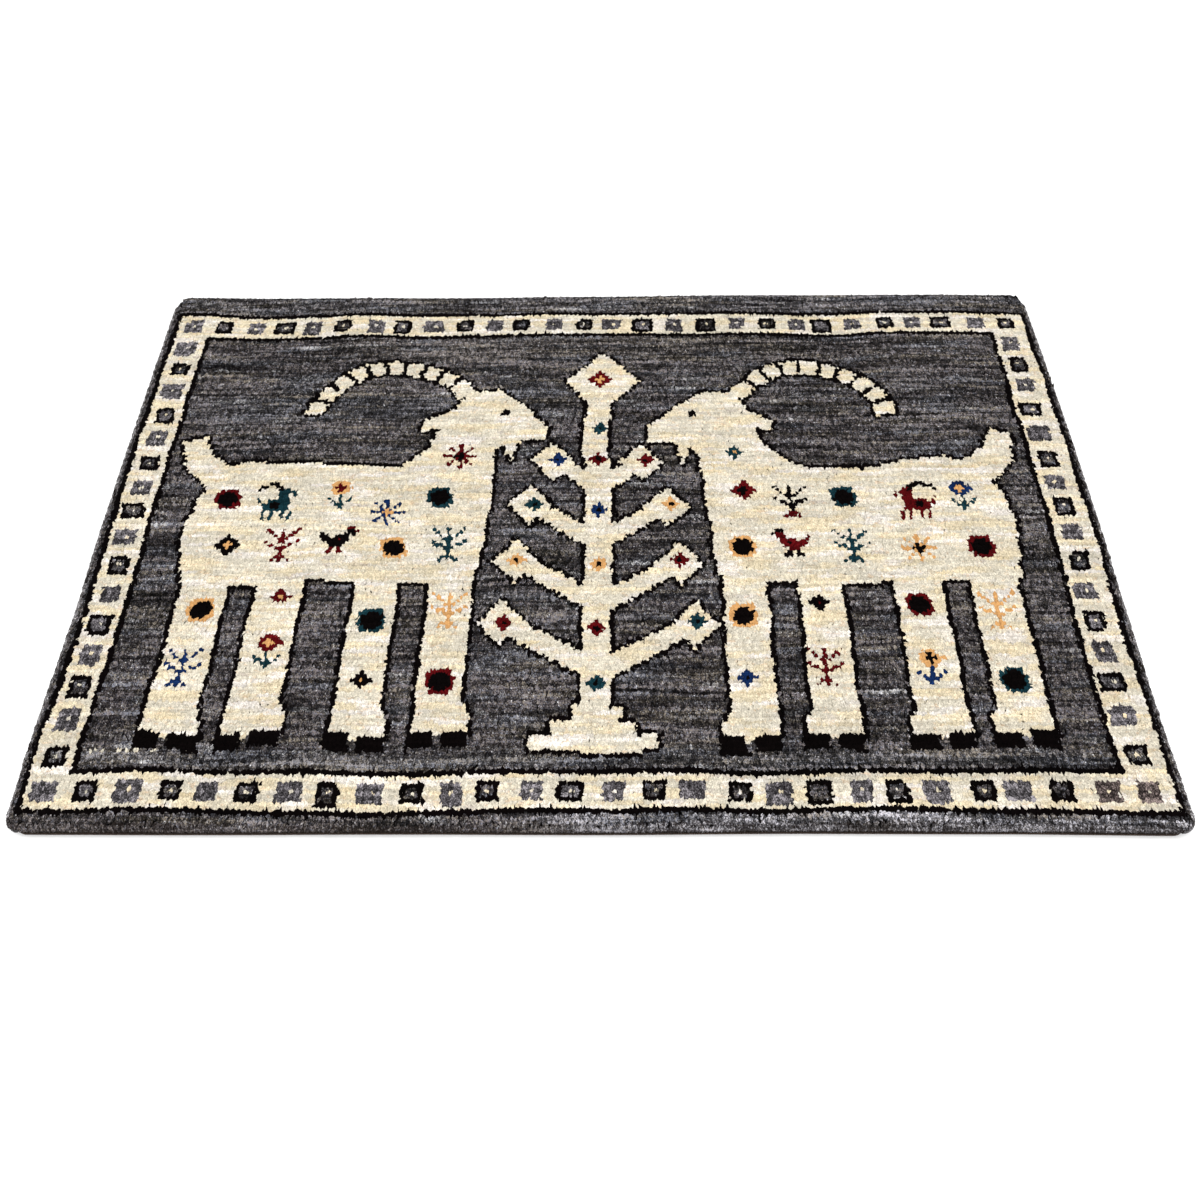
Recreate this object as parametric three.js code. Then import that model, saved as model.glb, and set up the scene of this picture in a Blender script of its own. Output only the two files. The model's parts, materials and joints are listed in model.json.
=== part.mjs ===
// A small hand-knotted gabbeh rug, lying flat.
// The woven body carries the pile and its turned-under hems.
// An overcast selvedge is sewn along each short side.
// Millimetres: +X runs along the rug, -Y is its near long side and +Z is up.

import * as THREE from 'three';
import { mergeVertices } from 'three/addons/utils/BufferGeometryUtils.js';

// Driving dimensions
const rugLength = 910;
const rugWidth = 610;
const rugThickness = 14;
const cornerRadius = 12;
const selvedgeDiameter = 8;
const sewnGap = 0.3;
const weldDistance = 1e-4;

// The pile's top drops towards its edge, and is a little uneven all over.
const pileRollDrop = 3.4;
const pileRollWidth = 12;
const pileUnevenness = 0.45;

// The wool wrapped round the selvedge lies in lumps, slanted round the cord.
const wrapPitch = 8.5;
const wrapDepth = 0.45;
const wrapSlant = 2;
const selvedgeTail = 15;
const selvedgeTailTurn = THREE.MathUtils.degToRad(50);
const selvedgeSides = 8;

// The wall from the underside up: how far it stands out from the body's outline at each height.
// On the long sides it is the fold of the hem, the crease above it and the pile that leans out.
// On the short sides it stands back for the selvedge, and the pile leans over that.
const selvedgeRecess = 2;
const wallSection = [
  { height: 0, longSide: -2.0, shortSide: -selvedgeRecess },
  { height: 0.9, longSide: -0.6, shortSide: -selvedgeRecess },
  { height: 2.4, longSide: 0, shortSide: -selvedgeRecess },
  { height: 4.0, longSide: -1.1, shortSide: -selvedgeRecess },
  { height: 6.0, longSide: -0.3, shortSide: -selvedgeRecess },
  { height: 8.4, longSide: 0.2, shortSide: -0.6 },
  { height: rugThickness - pileRollDrop, longSide: -0.4, shortSide: 0 },
];

// How far each side of the hand-woven rug strays outwards, at even stations along it.
// The left and right sides are read from the near corner on, the near and far ones from the left corner on.
const edgeWave = [
  { left: -3.0, right: -0.7, near: 0, far: 1.8 },
  { left: -1.5, right: -1.8, near: 0.4, far: 0.1 },
  { left: -1.9, right: -0.4, near: -0.1, far: -1.0 },
  { left: 0.5, right: 1.4, near: 0.4, far: -0.1 },
  { left: 1.3, right: 1.6, near: -0.6, far: 1.2 },
  { left: 1.6, right: 0.5, near: -0.2, far: 0.3 },
  { left: 1.6, right: -1.2, near: 1.2, far: -1.1 },
];

// Long swells of the pile's top, as wavelengths along each axis and a start.
const pileSwells = [
  { alongX: 310, alongY: 420, start: 0.4, share: 0.5 },
  { alongX: 170, alongY: -230, start: 2.1, share: 0.3 },
  { alongX: 95, alongY: 120, start: 4.0, share: 0.2 },
];

// The body's grid: close lines in the rolled edge and the corners, even ones between.
const edgeInsets = [0, 2.8, 6, 9, cornerRadius];
const linesAlong = 48;
const linesAcross = 34;

const bodyHalfLength = rugLength / 2 - selvedgeDiameter - sewnGap + selvedgeRecess;
const bodyHalfWidth = rugWidth / 2;
const cornerCentreX = bodyHalfLength - cornerRadius;
const cornerCentreY = bodyHalfWidth - cornerRadius;

function waveAt(side, along) {
  const last = edgeWave.length - 1;
  const station = THREE.MathUtils.clamp((along + 1) / 2, 0, 1) * last;
  const first = Math.min(Math.floor(station), last - 1);
  const share = THREE.MathUtils.smoothstep(station - first, 0, 1);
  return THREE.MathUtils.lerp(edgeWave[first][side], edgeWave[first + 1][side], share);
}

// Moves a point of the even rectangle to its place in the uneven rug.
function strayed(x, y) {
  const along = x / (rugLength / 2);
  const across = y / (rugWidth / 2);
  const sideX = along > 0 ? 'right' : 'left';
  const sideY = across > 0 ? 'far' : 'near';
  return {
    x: x + along * waveAt(sideX, across),
    y: y + across * waveAt(sideY, along),
  };
}

function gridLines(half, count) {
  const last = edgeInsets.length - 1;
  const inner = half - edgeInsets[last];
  return Array.from({ length: count + 1 }, (_, index) => {
    const fromEnd = Math.min(index, count - index);
    if (fromEnd <= last) {
      return Math.sign(index - count / 2) * (half - edgeInsets[fromEnd]);
    }
    return THREE.MathUtils.lerp(-inner, inner, (index - last) / (count - 2 * last));
  });
}

// Rounds the corners: each corner's square of the grid becomes a quarter disc.
function roundedCorner(x, y) {
  const beyondX = (Math.abs(x) - cornerCentreX) / cornerRadius;
  const beyondY = (Math.abs(y) - cornerCentreY) / cornerRadius;
  if (beyondX <= 0 || beyondY <= 0) {
    return { x, y };
  }
  const discX = beyondX * Math.sqrt(1 - (beyondY * beyondY) / 2);
  const discY = beyondY * Math.sqrt(1 - (beyondX * beyondX) / 2);
  return {
    x: Math.sign(x) * (cornerCentreX + cornerRadius * discX),
    y: Math.sign(y) * (cornerCentreY + cornerRadius * discY),
  };
}

// The outward direction at a point of the body's outline.
function outwards(x, y) {
  const beyondX = Math.max(Math.abs(x) - cornerCentreX, 0);
  const beyondY = Math.max(Math.abs(y) - cornerCentreY, 0);
  const size = Math.hypot(beyondX, beyondY);
  return { x: (Math.sign(x) * beyondX) / size, y: (Math.sign(y) * beyondY) / size };
}

function swellAt(wave, x, y) {
  const turns = x / wave.alongX + y / wave.alongY;
  return wave.share * Math.sin(2 * Math.PI * turns + wave.start);
}

// The height of the pile's top at a place that lies the given inset from the edge.
function pileTop(x, y, inset) {
  const roll = pileRollDrop * Math.max(1 - inset / pileRollWidth, 0) ** 2;
  const swell = pileSwells.reduce((sum, wave) => sum + swellAt(wave, x, y), 0);
  const inside = THREE.MathUtils.smoothstep(inset, 0, pileRollWidth);
  return rugThickness - roll - pileUnevenness * inside * (1 - swell) / 2;
}

function closedGeometry(geometry) {
  geometry.deleteAttribute('normal');
  geometry.deleteAttribute('uv');
  const closed = mergeVertices(geometry, weldDistance);
  closed.computeVertexNormals();
  return closed;
}

function wovenBodyGeometry() {
  const levels = wallSection.length - 1;
  const geometry = new THREE.BoxGeometry(linesAlong, linesAcross, levels, linesAlong, linesAcross, levels);
  const xLines = gridLines(bodyHalfLength, linesAlong);
  const yLines = gridLines(bodyHalfWidth, linesAcross);
  const position = geometry.getAttribute('position');
  for (let index = 0; index < position.count; index += 1) {
    const column = Math.round(position.getX(index) + linesAlong / 2);
    const row = Math.round(position.getY(index) + linesAcross / 2);
    const level = Math.round(position.getZ(index) + levels / 2);
    const inset = Math.min(
      bodyHalfLength - Math.abs(xLines[column]),
      bodyHalfWidth - Math.abs(yLines[row]),
    );
    const place = roundedCorner(xLines[column], yLines[row]);
    let height = wallSection[level].height;
    if (inset === 0) {
      const normal = outwards(place.x, place.y);
      const section = wallSection[level];
      const stand = section.shortSide * normal.x ** 2 + section.longSide * normal.y ** 2;
      place.x += normal.x * stand;
      place.y += normal.y * stand;
    }
    if (level === levels) {
      height = pileTop(place.x, place.y, inset);
    }
    const lying = strayed(place.x, place.y);
    position.setXYZ(index, lying.x, lying.y, height);
  }
  return closedGeometry(geometry);
}

// The selvedge's centreline beside the body: straight, then round the corner as it thins to its end.
function selvedgeAt(side, along) {
  const past = THREE.MathUtils.clamp((Math.abs(along) - cornerCentreY) / selvedgeTail, 0, 1);
  const turn = past * selvedgeTailTurn;
  const radius = (selvedgeDiameter / 2) * Math.sqrt(1 - past * past);
  const stand = radius + sewnGap - selvedgeRecess * Math.cos(turn) ** 2;
  const reach = cornerRadius + stand;
  const end = Math.sign(along);
  const straight = Math.min(Math.abs(along), cornerCentreY);
  return {
    radius,
    normalX: side * Math.cos(turn),
    normalY: end * Math.sin(turn),
    x: side * (cornerCentreX + reach * Math.cos(turn)),
    y: end * (straight + reach * Math.sin(turn)),
  };
}

function selvedgeGeometry(side) {
  const halfRun = cornerCentreY + selvedgeTail;
  const steps = 2 * Math.round((2 * halfRun) / wrapPitch);
  const outline = Array.from({ length: steps + 1 }, (_, step) => {
    const along = THREE.MathUtils.lerp(-halfRun, halfRun, step / steps);
    const isEnd = step === 0 || step === steps;
    const lump = step % 2 === 0 ? wrapDepth : 0;
    const radius = isEnd ? 0 : selvedgeDiameter / 2 - lump;
    return new THREE.Vector2(radius, along);
  });
  const flatDown = Math.PI / selvedgeSides;
  const geometry = new THREE.LatheGeometry(outline, selvedgeSides, flatDown);
  const position = geometry.getAttribute('position');
  for (let index = 0; index < position.count; index += 1) {
    const acrossCord = position.getX(index) / (selvedgeDiameter / 2);
    const upCord = position.getZ(index) / (selvedgeDiameter / 2);
    const along = position.getY(index);
    const isEnd = Math.abs(along) > halfRun - wrapPitch / 4;
    const slanted = isEnd ? along : along + (wrapSlant / 2) * upCord;
    const cord = selvedgeAt(side, slanted);
    const centreHeight = (cord.radius - wrapDepth / 2) * Math.cos(flatDown);
    const lying = strayed(
      cord.x + side * cord.normalX * acrossCord * cord.radius,
      cord.y + side * cord.normalY * acrossCord * cord.radius,
    );
    position.setXYZ(index, lying.x, lying.y, Math.max(centreHeight + upCord * cord.radius, 0));
  }
  return closedGeometry(geometry);
}

const pileWool = new THREE.MeshStandardMaterial({ color: 0x4c4a4f, roughness: 0.95, metalness: 0 });
const selvedgeWool = new THREE.MeshStandardMaterial({ color: 0x5a5659, roughness: 0.9, metalness: 0 });

const wovenBody = new THREE.Mesh(wovenBodyGeometry(), pileWool);
wovenBody.name = 'woven_body';

const selvedgeLeft = new THREE.Mesh(selvedgeGeometry(-1), selvedgeWool);
selvedgeLeft.name = 'selvedge_left';

const selvedgeRight = new THREE.Mesh(selvedgeGeometry(1), selvedgeWool);
selvedgeRight.name = 'selvedge_right';

const rug = new THREE.Group();
rug.add(wovenBody, selvedgeLeft, selvedgeRight);

export default rug;
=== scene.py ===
# %% [markdown]
# A small gabbeh lies flat on the floor. It is a thick wool rug, knotted by hand row after row, and
# its pile is one soft tuft for each knot. A flat plane with a bumpy finish could stand for it from
# far away, but its edges would look like cut cardboard. So this lesson knots the rug as a weaver
# does: first a chart of the design, then a real tuft of wool for every square of the chart.
#
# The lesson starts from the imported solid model, which fixes where the rug is and how big it is.

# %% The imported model
import json
import math

import bpy
import numpy as np
from mathutils import Matrix, Vector

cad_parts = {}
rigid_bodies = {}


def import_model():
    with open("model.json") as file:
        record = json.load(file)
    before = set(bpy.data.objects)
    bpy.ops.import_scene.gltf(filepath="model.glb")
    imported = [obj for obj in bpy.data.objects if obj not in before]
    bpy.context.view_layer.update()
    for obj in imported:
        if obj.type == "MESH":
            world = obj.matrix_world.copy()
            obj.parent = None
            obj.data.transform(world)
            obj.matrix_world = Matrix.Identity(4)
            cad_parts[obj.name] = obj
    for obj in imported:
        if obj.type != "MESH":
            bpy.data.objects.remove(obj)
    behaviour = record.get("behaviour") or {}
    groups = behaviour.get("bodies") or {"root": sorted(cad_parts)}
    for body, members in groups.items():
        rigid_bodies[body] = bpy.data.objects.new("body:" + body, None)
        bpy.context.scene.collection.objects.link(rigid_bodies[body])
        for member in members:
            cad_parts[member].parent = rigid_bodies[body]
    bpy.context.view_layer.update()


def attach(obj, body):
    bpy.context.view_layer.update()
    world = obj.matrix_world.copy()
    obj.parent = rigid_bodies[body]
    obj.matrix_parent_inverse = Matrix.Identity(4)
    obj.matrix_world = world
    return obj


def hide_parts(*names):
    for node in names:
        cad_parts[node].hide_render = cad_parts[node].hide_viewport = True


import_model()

# %% [markdown]
# The rug's own measures come next, in metres, and are the same ones that the solid model was made
# from. No hand-woven rug is a true rectangle. Its sides pull in and swell by a few millimetres, so a
# short table says how far each side strays at seven even stations, as measured on the photograph,
# and one function moves any point of the even rectangle to its place in the uneven rug.

# %% The rug's measures
mm = 0.001
rug_length = 910 * mm
rug_width = 610 * mm
rug_thickness = 14 * mm
corner_radius = 12 * mm
selvedge_radius = 4 * mm
sewn_gap = 0.3 * mm
wall_recess = 2 * mm

body_half_length = rug_length / 2 - 2 * selvedge_radius - sewn_gap + wall_recess
body_half_width = rug_width / 2
corner_centre_x = body_half_length - corner_radius
corner_centre_y = body_half_width - corner_radius

side_strays = {
    "left": (-3.0, -1.5, -1.9, 0.5, 1.3, 1.6, 1.6),
    "right": (-0.7, -1.8, -0.4, 1.4, 1.6, 0.5, -1.2),
    "near": (0, 0.4, -0.1, 0.4, -0.6, -0.2, 1.2),
    "far": (1.8, 0.1, -1.0, -0.1, 1.2, 0.3, -1.1),
}


def smooth_step(value, low, high):
    """From 0 at low to 1 at high, with a soft start and a soft end."""
    share = np.clip((value - low) / (high - low), 0, 1)
    return share * share * (3 - 2 * share)


def table_at(table, place):
    """Reads a table of millimetres at even stations, at a place from -1 to 1 along it."""
    values = np.array(table) * mm
    station = np.clip((place + 1) / 2, 0, 1) * (len(values) - 1)
    first = np.minimum(station.astype(int), len(values) - 2)
    share = smooth_step(station - first, 0, 1)
    return values[first] * (1 - share) + values[first + 1] * share


def as_lying(points):
    """Moves points of the even rectangle to their places in the uneven rug."""
    along = points[..., 0] / (rug_length / 2)
    across = points[..., 1] / (rug_width / 2)
    side_x = np.where(
        along > 0, table_at(side_strays["right"], across), table_at(side_strays["left"], across)
    )
    side_y = np.where(
        across > 0, table_at(side_strays["far"], along), table_at(side_strays["near"], along)
    )
    lying = points.copy()
    lying[..., 0] += along * side_x
    lying[..., 1] += across * side_y
    return lying


def in_rounded_corners(points):
    """Presses the square corners of the knots' grid into the rug's round ones."""
    beyond_x = np.maximum(np.abs(points[..., 0]) - corner_centre_x, 0) / corner_radius
    beyond_y = np.maximum(np.abs(points[..., 1]) - corner_centre_y, 0) / corner_radius
    in_corner = (beyond_x > 0) & (beyond_y > 0)
    disc_x = corner_centre_x + corner_radius * beyond_x * np.sqrt(1 - beyond_y**2 / 2)
    disc_y = corner_centre_y + corner_radius * beyond_y * np.sqrt(1 - beyond_x**2 / 2)
    rounded = points.copy()
    rounded[..., 0] = np.where(in_corner, np.sign(points[..., 0]) * disc_x, points[..., 0])
    rounded[..., 1] = np.where(in_corner, np.sign(points[..., 1]) * disc_y, points[..., 1])
    return rounded


print(f"woven body: {2000 * body_half_length:.1f} by {2000 * body_half_width:.1f} mm")

# %% [markdown]
# The photograph was taken from the middle of a long side, with the camera about 0.8 metres up. The
# lens and the angles below were fitted to the rug's four corners. They could also be set by eye.

# %% The camera
camera_place = Vector((0.0146, -0.6371, 0.7815))
camera_tilt = math.radians(35.2)
camera_turn = math.radians(1.211)
camera_roll = math.radians(-1.148)
camera_lens = 32.78
sensor_width = 36

camera_data = bpy.data.cameras.new("camera")
camera_data.lens = camera_lens
camera_data.sensor_width = sensor_width
camera = bpy.data.objects.new("camera", camera_data)
camera.matrix_world = (
    Matrix.Translation(camera_place)
    @ Matrix.Rotation(camera_turn, 4, "Z")
    @ Matrix.Rotation(camera_tilt, 4, "X")
    @ Matrix.Rotation(camera_roll, 4, "Z")
)
bpy.context.collection.objects.link(camera)
bpy.context.scene.camera = camera
print("camera height:", round(camera_place.z, 3), "m")

# %% [markdown]
# The rug was photographed on plain white, in soft light with hardly a shadow. A large soft lamp
# overhead, a weaker one from the front and a pale sky give that. Standard colour keeps the black
# outlines black and the floor white, where the softer film looks would grey them both.

# %% Floor and light
floor_reach = 12
floor_gap = 0.05 * mm
sky_strength = 0.95
lamps = {
    "overhead lamp": {"place": (-0.2, -0.15, 2.3), "size": 2.0, "power": 41},
    "front lamp": {"place": (0.4, -2.0, 1.5), "size": 1.6, "power": 12},
}

bpy.ops.mesh.primitive_plane_add(size=floor_reach, location=(0, 0, -floor_gap))
floor = bpy.context.object
floor.name = "floor"

for name, lamp in lamps.items():
    lamp_data = bpy.data.lights.new(name, "AREA")
    lamp_data.size = lamp["size"]
    lamp_data.energy = lamp["power"]
    lamp_object = bpy.data.objects.new(name, lamp_data)
    lamp_object.location = lamp["place"]
    lamp_object.rotation_euler = (-Vector(lamp["place"])).to_track_quat("-Z", "Y").to_euler()
    bpy.context.collection.objects.link(lamp_object)

sky = bpy.data.worlds.new("pale sky")
sky.use_nodes = True
sky.node_tree.nodes["Background"].inputs["Color"].default_value = (1, 1, 1, 1)
sky.node_tree.nodes["Background"].inputs["Strength"].default_value = sky_strength
bpy.context.scene.world = sky
bpy.context.scene.view_settings.view_transform = "Standard"
print("lamps:", ", ".join(lamps))

# %% [markdown]
# A weaver works from a chart, or from memory, one row of knots at a time. The chart here is a grid
# of whole numbers with one number for the wool of each knot. Row 0 is the row nearest the camera.
# The border runs all round, a few knots in from the edge, between an outer and an inner guard
# line. A number for each side says how many knots lie outside its line.

# %% The chart's size and its guard lines
columns = 259
rows = 178
wools = ["charcoal", "cream", "black", "grey", "brown", "red", "teal", "blue", "peach"]
charcoal, cream, black, grey, brown, red, teal, blue, peach = range(len(wools))
outer_line = {"near": 3, "far": 8, "left": 1, "right": 1}
inner_line = {"near": 13, "far": 18, "left": 11, "right": 12}

chart_chance = np.random.default_rng(7)
row, column = np.mgrid[0:rows, 0:columns]


def knots_inside(line):
    """How many knots each knot lies inside a guard line. 0 is on the line."""
    return np.minimum.reduce([
        row - line["near"],
        rows - 1 - row - line["far"],
        column - line["left"],
        columns - 1 - column - line["right"],
    ])


inside_outer = knots_inside(outer_line)
inside_inner = knots_inside(inner_line)
chart = np.full((rows, columns), charcoal)
chart[inside_outer >= 0] = black
chart[inside_outer >= 1] = cream
chart[inside_inner >= 0] = black
chart[inside_inner >= 1] = charcoal
print("chart:", columns, "by", rows, "knots,", columns * rows, "in all")

# %% [markdown]
# The cream border carries a row of little squares, five or six knots wide. Plain ones and ones with
# a black outline take turns, most with a small light knot in the middle. The weaver counts them by
# eye, so their spacing and their shape are never quite the same twice.

# %% The squares of the border
box_widths = (5, 5, 5, 6)
box_heights = (5, 5, 6)
boxes_along = 28
boxes_across = 18
light_middle_share = 0.8
nibbled_share = 0.3
ringed_wools = (charcoal, charcoal, charcoal, charcoal, grey)
brown_squares = 2
square_stray = 0.8
thin_knots = np.zeros(chart.shape, bool)


def spaced(first, last, count):
    """Whole numbers from first to last, nearly even."""
    even = np.linspace(first, last, count)
    even[1:-1] += chart_chance.uniform(-square_stray, square_stray, count - 2)
    return np.round(even).astype(int)


def knot_box(middle_x, middle_y, ringed, plain_wool=grey):
    """One square of the border, with its middle on the given knot."""
    wide, high = chart_chance.choice(box_widths), chart_chance.choice(box_heights)
    left = middle_x - wide // 2
    low = middle_y - high // 2
    wool = chart_chance.choice(ringed_wools) if ringed else plain_wool
    area = chart[low:low + high, left:left + wide]
    area[:] = black if ringed else wool
    if ringed:
        area[1:-1, 1:-1] = wool
    if chart_chance.random() < light_middle_share:
        area[high // 2, wide // 2] = cream
        thin_knots[low + high // 2, left + wide // 2] = True
    if chart_chance.random() < nibbled_share:
        area[chart_chance.choice((0, -1)), chart_chance.choice((0, -1))] = cream


border_middle = {side: (outer_line[side] + inner_line[side] + 1) // 2 for side in outer_line}
far_row = rows - 1 - border_middle["far"]
right_column = columns - 1 - border_middle["right"]
for number, x in enumerate(spaced(border_middle["left"], right_column, boxes_along)):
    near_wool = brown if number >= boxes_along - brown_squares else grey
    knot_box(x, border_middle["near"], number % 2 == 1 and number < boxes_along - 1, near_wool)
    knot_box(x, far_row, number % 2 == 1)
for number, y in enumerate(spaced(border_middle["near"], far_row, boxes_across)[1:-1]):
    knot_box(border_middle["left"], y, number % 2 == 0)
    knot_box(right_column, y, number % 2 == 0)
print("border squares:", 2 * boxes_along + 2 * (boxes_across - 2))

# %% [markdown]
# The field holds an old theme of tribal rugs: two goats that face a tree of life. Each figure is
# an outline of a few corners, measured in knots. A knot belongs to the figure if its middle lies
# inside. The figure is then outlined in black, one knot wide. Before the test, the whole chart is
# bent by a knot or so, because a weaver who counts by eye never keeps a figure quite upright.

# %% Figures from outlines
middle = columns / 2
bend_size = 0.9
knots_a_bend = {"up": 11, "along": 13}


def slow_bend(count, reach):
    """A smooth wandering line, with one gentle bend for every reach knots."""
    bends = chart_chance.uniform(-bend_size, bend_size, count // reach + 3)
    place = np.arange(count) / reach
    first = place.astype(int)
    share = smooth_step(place - first, 0, 1)
    return bends[first] * (1 - share) + bends[first + 1] * share


bent_x = column + 0.5 + slow_bend(rows, knots_a_bend["up"])[:, None]
bent_y = row + 0.5 + slow_bend(columns, knots_a_bend["along"])[None, :]


def knots_within(corners):
    """The knots inside a closed outline: those with an odd number of its sides to their right."""
    found = np.zeros(chart.shape, bool)
    for (x1, y1), (x2, y2) in zip(corners, corners[1:] + corners[:1]):
        if y1 != y2:
            crosses = (y1 > bent_y) != (y2 > bent_y)
            found ^= crosses & (bent_x < (x2 - x1) * (bent_y - y1) / (y2 - y1) + x1)
    return found


def block(left, low, right, high):
    return [(left, low), (left, high), (right, high), (right, low)]


def curved_band(centre_x, centre_y, inner, outer, start, end, steps=14):
    """A band along an arc, from one angle to another, in degrees."""
    angles = np.radians(np.linspace(start, end, steps))
    outside = [(centre_x + outer * math.cos(a), centre_y + outer * math.sin(a)) for a in angles]
    inside = [(centre_x + inner * math.cos(a), centre_y + inner * math.sin(a)) for a in angles]
    return outside + inside[::-1]


def outlined(shape, wool):
    """Knots a shape in one wool, with a black line round it."""
    grown = shape.copy()
    for shift in ((1, 0), (-1, 0), (0, 1), (0, -1)):
        grown |= np.roll(shape, shift, (0, 1))
    chart[grown] = black
    chart[shape] = wool


print("furthest bend:", round(float(np.abs(bent_x - column - 0.5).max()), 2), "knots")

# %% [markdown]
# A goat stands on four straight legs with split hooves, and its ringed horn sweeps back over its
# neck. The second goat is the first one mirrored about the middle of the rug.

# %% Two goats
goat_body = [
    (5, 50), (3, 66), (4, 78), (9, 89), (17, 93), (40, 89), (58, 90), (65, 97), (70, 111),
    (73, 118), (82, 119), (88, 114), (97, 105), (98, 99), (90, 98), (88, 90), (86, 97), (84, 95),
    (83, 82), (82, 62), (80, 50),
]
goat_tail = [(6, 82), (-1, 90), (-3, 100), (3, 102), (6, 95), (13, 90)]
goat_ear = [(71, 112), (62, 107), (63, 103), (73, 106)]
goat_legs = [(6, 18), (25, 37), (50, 61), (69, 80)]
leg_low, leg_high = 5, 56
heel_low, heel_high, heel_reach = 10, 14, 2
hoof_low, hoof_high, hoof_reach = 2, 6.5, 0.6
split_left, split_right, split_high, split_edge = 5.7, 7.3, 5, 0.1
goat_eye = block(84, 109, 86, 111)
horn = {"centre_x": 53, "centre_y": 106, "inner": 20, "outer": 25.5}
horn_start, horn_end = 28, 172
horn_rings = range(44, 170, 14)
horn_ring_width = 3
goat_x, goat_y = 18, 17


def knot_goat(mirrored):
    def placed(corners):
        moved = [(x + goat_x, y + goat_y) for x, y in corners]
        return [(2 * middle - x, y) for x, y in moved] if mirrored else moved

    shape = knots_within(placed(goat_body)) | knots_within(placed(goat_tail))
    shape |= knots_within(placed(goat_ear))
    shape |= knots_within(placed(curved_band(**horn, start=horn_start, end=horn_end)))
    for left, right in goat_legs:
        heel = right + heel_reach
        leg = [(left, leg_low), (left, leg_high), (right, leg_high), (right, heel_high)]
        shape |= knots_within(placed([*leg, (heel, heel_low), (heel, leg_low)]))
    outlined(shape, cream)
    for left, right in goat_legs:
        hoof_ends = (left + split_left - split_edge, right + heel_reach + hoof_reach)
        for start, end in zip((left - hoof_reach, left + split_right + split_edge), hoof_ends):
            chart[knots_within(placed(block(start, hoof_low, end, hoof_high)))] = black
        split = block(left + split_left, hoof_low, left + split_right, split_high)
        chart[knots_within(placed(split))] = charcoal
    for turn in horn_rings:
        ring = curved_band(**horn, start=turn, end=turn + horn_ring_width, steps=2)
        chart[knots_within(placed(ring))] = black
    chart[knots_within(placed(goat_eye))] = black


knot_goat(mirrored=False)
knot_goat(mirrored=True)
print("cream knots after the goats:", int((chart == cream).sum()))

# %% [markdown]
# The tree of life grows between them from a stepped foot. Four pairs of boughs each end in a
# diamond-shaped leaf, and a large diamond crowns the trunk.

# %% The tree of life
trunk_half, trunk_low, trunk_high = 3.5, 20, 140
foot_steps = [(15, 19, 23), (10, 23, 27), (6, 27, 31)]
bough_start, bough_root_height, bough_end_height = 2, 7, 6
leaf_half, leaf_low, leaf_middle, leaf_high = 6, -4, 3, 10
crown_half, crown_low, crown_middle, crown_high = 11, 127, 140, 152
boughs = [
    {"low": 38, "reach": 24, "rise": 13},
    {"low": 58, "reach": 21, "rise": 12},
    {"low": 78, "reach": 18, "rise": 11},
    {"low": 97, "reach": 12, "rise": 8},
]


def upright_diamond(x, half, low, widest, high):
    return [(x - half, widest), (x, high), (x + half, widest), (x, low)]


tree = knots_within(block(middle - trunk_half, trunk_low, middle + trunk_half, trunk_high))
for half, low, high in foot_steps:
    tree |= knots_within(block(middle - half, low, middle + half, high))
for bough in boughs:
    for side in (-1, 1):
        root = middle + bough_start * side
        root_top = bough["low"] + bough_root_height
        end = middle + side * bough["reach"]
        level = bough["low"] + bough["rise"]
        wood = [(root, bough["low"]), (end, level), (end, level + bough_end_height), (root, root_top)]
        leaf_heights = (level + leaf_low, level + leaf_middle, level + leaf_high)
        tree |= knots_within(wood)
        tree |= knots_within(upright_diamond(end, leaf_half, *leaf_heights))
tree |= knots_within(upright_diamond(middle, crown_half, crown_low, crown_middle, crown_high))
outlined(tree, cream)
print("tree:", int(tree.sum()), "knots")

# %% [markdown]
# Small motifs fill the cream shapes: ringed rosettes, sprigs, stars, flowers, a bird and a kid.
# Each is drawn once as lines of letters, as on a weaver's squared paper. A dot leaves the
# knot as it is, and the letters stand for the wools given where the motif is placed.

# %% Small motifs on squared paper
rosette = [
    ".xxxxx.",
    "xxooox.",
    "xooooox",
    "xooooox",
    "xooooox",
    ".xoooxx",
    ".xxxxx.",
]
sprig = [
    "x...x...x",
    ".x..x..x.",
    "..x.x.x..",
    "...xxx...",
    "x...x...x",
    ".xx.x.xx.",
    "...xxx...",
    "....x....",
    "....x....",
    "...ooo...",
    "..o.o.o..",
]
star = [
    "....x....",
    ".x..x..x.",
    "..x.x.x..",
    "...xox...",
    "xxxoooxxx",
    "...xox...",
    "..x.x.x..",
    ".x..x..x.",
    "....x....",
]
diamond = [
    "...x...",
    "..xxx..",
    ".xxoxx.",
    "xxoooxx",
    ".xxoxx.",
    "..xxx..",
    "...x...",
]
kid = [
    "...ooo........",
    ".oo..oo.......",
    "o.....oxx.....",
    "......xxxxx...",
    "......xxx.x...",
    "x.....xxx.....",
    ".x.xxxxxx.....",
    ".xxxooxxx.....",
    "..xxooxxx.....",
    "..xxxxxxx.....",
    "..x.x..x.x....",
    "..x.x..x.x....",
    "..x.x..x.x....",
]
bird = [
    ".......oo.",
    ".......xxo",
    "x.....xxx.",
    "xx..xxxx..",
    ".xxxxoxx..",
    "..xxxxx...",
    "...xxx....",
    "...o.o....",
    "..oo.oo...",
]
flower = [
    "..xxx..",
    ".xxoxx.",
    ".xoooxx",
    ".xxoxx.",
    "..xxx..",
    "...z...",
    "z..z..z",
    ".z.z.z.",
    "..zzz..",
    "...z...",
]
leaf = [
    "..x..",
    ".xxx.",
    "xxoxx",
    ".xxx.",
    "..x..",
]
motifs = (rosette, sprig, star, diamond, kid, bird, flower, leaf)
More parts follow.
